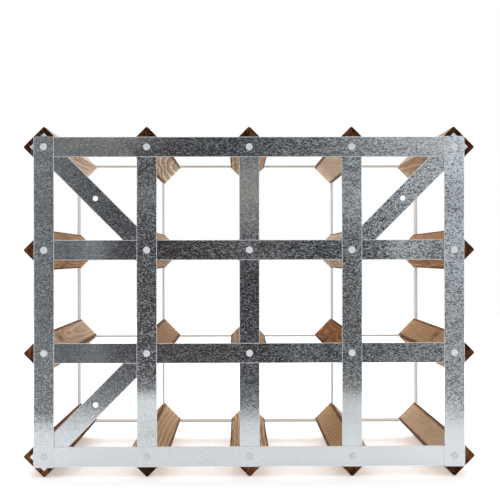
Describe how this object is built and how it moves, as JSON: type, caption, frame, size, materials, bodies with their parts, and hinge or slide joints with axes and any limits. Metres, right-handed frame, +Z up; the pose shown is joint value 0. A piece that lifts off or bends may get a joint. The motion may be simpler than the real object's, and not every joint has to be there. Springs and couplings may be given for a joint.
{
  "type": "wine rack",
  "caption": "Wine rack of square wooden bars set on edge, held front and back in lattices of galvanised steel strip, with braced corners.",
  "frame": {"origin": "middle of the rack's base, on the surface it stands on", "axes": "+Z up; +Y out of the open front, from where bottles go in; -Y towards the wall, on the nailed lattice with the corner braces; +X to the right as the nailed lattice is faced"},
  "size_m": [0.4262, 0.232, 0.3306],
  "materials": {
    "wood": "dark stain on planed softwood, satin, with stained end grain",
    "galvanised_strip": "galvanised, fine spangle, semi-bright",
    "nail": "bright galvanised"
  },
  "bodies": {
    "root": {"clout_nails": "nail", "corner_brace_bottom_left": "galvanised_strip", "corner_brace_top_left": "galvanised_strip", "corner_brace_top_right": "galvanised_strip", "front_cross_strip_1": "galvanised_strip", "front_cross_strip_2": "galvanised_strip", "front_cross_strip_3": "galvanised_strip", "front_cross_strip_4": "galvanised_strip", "front_upright_strip_1": "galvanised_strip", "front_upright_strip_2": "galvanised_strip", "front_upright_strip_3": "galvanised_strip", "front_upright_strip_4": "galvanised_strip", "front_upright_strip_5": "galvanised_strip", "rear_cross_strip_1": "galvanised_strip", "rear_cross_strip_2": "galvanised_strip", "rear_cross_strip_3": "galvanised_strip", "rear_cross_strip_4": "galvanised_strip", "rear_upright_strip_1": "galvanised_strip", "rear_upright_strip_2": "galvanised_strip", "rear_upright_strip_3": "galvanised_strip", "rear_upright_strip_4": "galvanised_strip", "rear_upright_strip_5": "galvanised_strip", "wood_bar_row1_column1": "wood", "wood_bar_row1_column2": "wood", "wood_bar_row1_column3": "wood", "wood_bar_row1_column4": "wood", "wood_bar_row1_column5": "wood", "wood_bar_row2_column1": "wood", "wood_bar_row2_column2": "wood", "wood_bar_row2_column3": "wood", "wood_bar_row2_column4": "wood", "wood_bar_row2_column5": "wood", "wood_bar_row3_column1": "wood", "wood_bar_row3_column2": "wood", "wood_bar_row3_column3": "wood", "wood_bar_row3_column4": "wood", "wood_bar_row3_column5": "wood", "wood_bar_row4_column1": "wood", "wood_bar_row4_column2": "wood", "wood_bar_row4_column3": "wood", "wood_bar_row4_column4": "wood", "wood_bar_row4_column5": "wood"}
  },
  "joints": []
}
